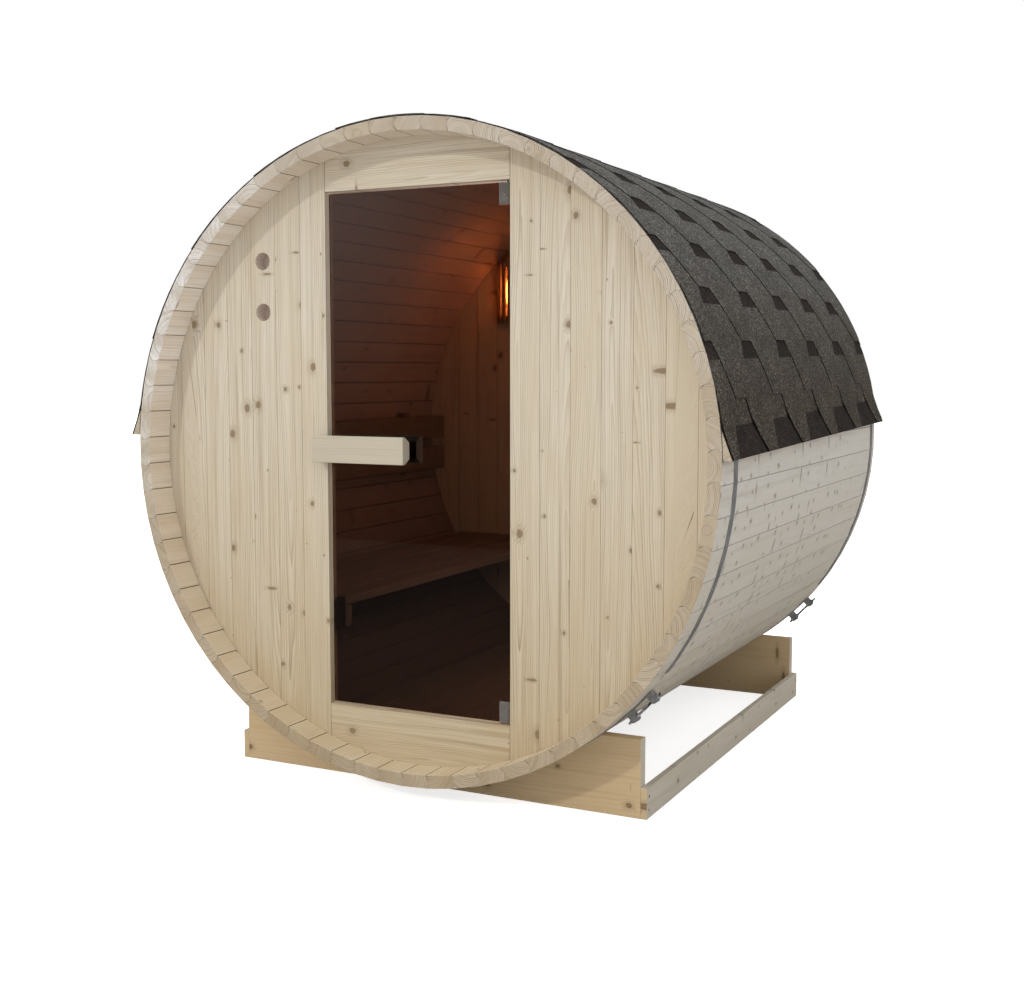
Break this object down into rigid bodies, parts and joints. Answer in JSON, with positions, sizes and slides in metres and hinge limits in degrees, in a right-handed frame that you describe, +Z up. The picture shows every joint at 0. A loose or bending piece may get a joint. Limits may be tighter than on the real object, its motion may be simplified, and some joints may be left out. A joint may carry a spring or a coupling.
{
  "type": "barrel sauna",
  "caption": "Barrel-shaped garden sauna of wooden staves on a timber cradle, with a shingled upper half, a recessed board front and a hinged glass door.",
  "frame": {"origin": "on the ground under the middle of the shell", "axes": "+Z up, +Y from the door into the depth along the shell's axis, +X to the right seen from the front"},
  "size_m": [2.041, 1.93, 2.0341],
  "materials": {
    "stave_wood": "planed, bare",
    "wall_wood": "planed, bare",
    "cradle_wood": "planed, bare",
    "shingles": "granules on bitumen",
    "band_steel": "satin",
    "chrome": "polished",
    "tinted_glass": "bronze tinted",
    "lamp_glass": "frosted, lit"
  },
  "bodies": {
    "sauna": {"right_staves": "stave_wood", "upper_right_staves": "stave_wood", "top_right_staves": "stave_wood", "top_left_staves": "stave_wood", "upper_left_staves": "stave_wood", "left_staves": "stave_wood", "lower_left_staves": "stave_wood", "bottom_left_staves": "stave_wood", "bottom_right_staves": "stave_wood", "lower_right_staves": "stave_wood", "front_wall_left": "wall_wood", "front_wall_right": "wall_wood", "front_vent_board": "wall_wood", "door_header": "wall_wood", "door_sill": "wall_wood", "back_wall_left": "wall_wood", "back_wall_middle": "wall_wood", "back_wall_right": "wall_wood", "vent_slide": "wall_wood", "front_hoop": "band_steel", "rear_hoop": "band_steel", "front_tensioner": "band_steel", "rear_tensioner": "band_steel", "right_roof_shingles": "shingles", "left_roof_shingles": "shingles", "ridge_shingles": "shingles", "right_eave_batten": "cradle_wood", "left_eave_batten": "cradle_wood", "front_bolster": "cradle_wood", "rear_bolster": "cradle_wood", "right_rail": "cradle_wood", "left_rail": "cradle_wood", "floor_planks": "wall_wood", "floor_bearers": "wall_wood", "bench_slats": "wall_wood", "bench_cleats": "wall_wood", "backrest_boards": "wall_wood", "backrest_battens": "wall_wood", "lamp_shade": "wall_wood", "lamp_globe": "lamp_glass"},
    "door": {"door_glass": "tinted_glass", "upper_pivot_clip": "chrome", "lower_pivot_clip": "chrome", "outer_handle": "cradle_wood", "inner_handle": "cradle_wood"}
  },
  "joints": [
    {"name": "door_hinge", "type": "hinge", "parent": "sauna", "child": "door", "pos_m": [0.302, -0.849, 1.035], "axis": [0, 0, 1], "range_deg": [0, 100]}
  ]
}
